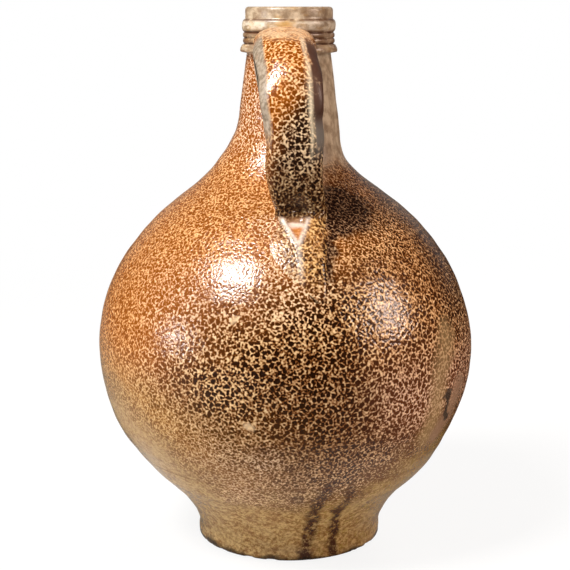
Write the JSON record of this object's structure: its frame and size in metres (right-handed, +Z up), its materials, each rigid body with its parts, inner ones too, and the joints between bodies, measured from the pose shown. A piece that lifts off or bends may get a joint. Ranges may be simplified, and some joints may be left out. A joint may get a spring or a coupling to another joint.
{
  "type": "bartmann jug",
  "caption": "Round-bellied salt-glazed stoneware jug with a narrow reeded neck, a strap handle behind and a moulded bearded mask and oval medallion in front, for keeping and pouring drink.",
  "frame": {"origin": "middle of the flat foot, on the surface that the jug stands on", "axes": "+Z up along the axis of the neck, the mask and medallion face -Y, the handle is at +Y"},
  "size_m": [0.151, 0.1533, 0.215],
  "materials": {
    "body_glaze": "glossy mottled salt glaze",
    "handle_glaze": "glossy mottled salt glaze",
    "mask_glaze": "glossy mottled salt glaze",
    "medallion_glaze": "glossy mottled salt glaze"
  },
  "bodies": {
    "root": {"jug_body": "body_glaze", "strap_handle": "handle_glaze", "bearded_mask": "mask_glaze", "belly_medallion": "medallion_glaze"}
  },
  "joints": []
}
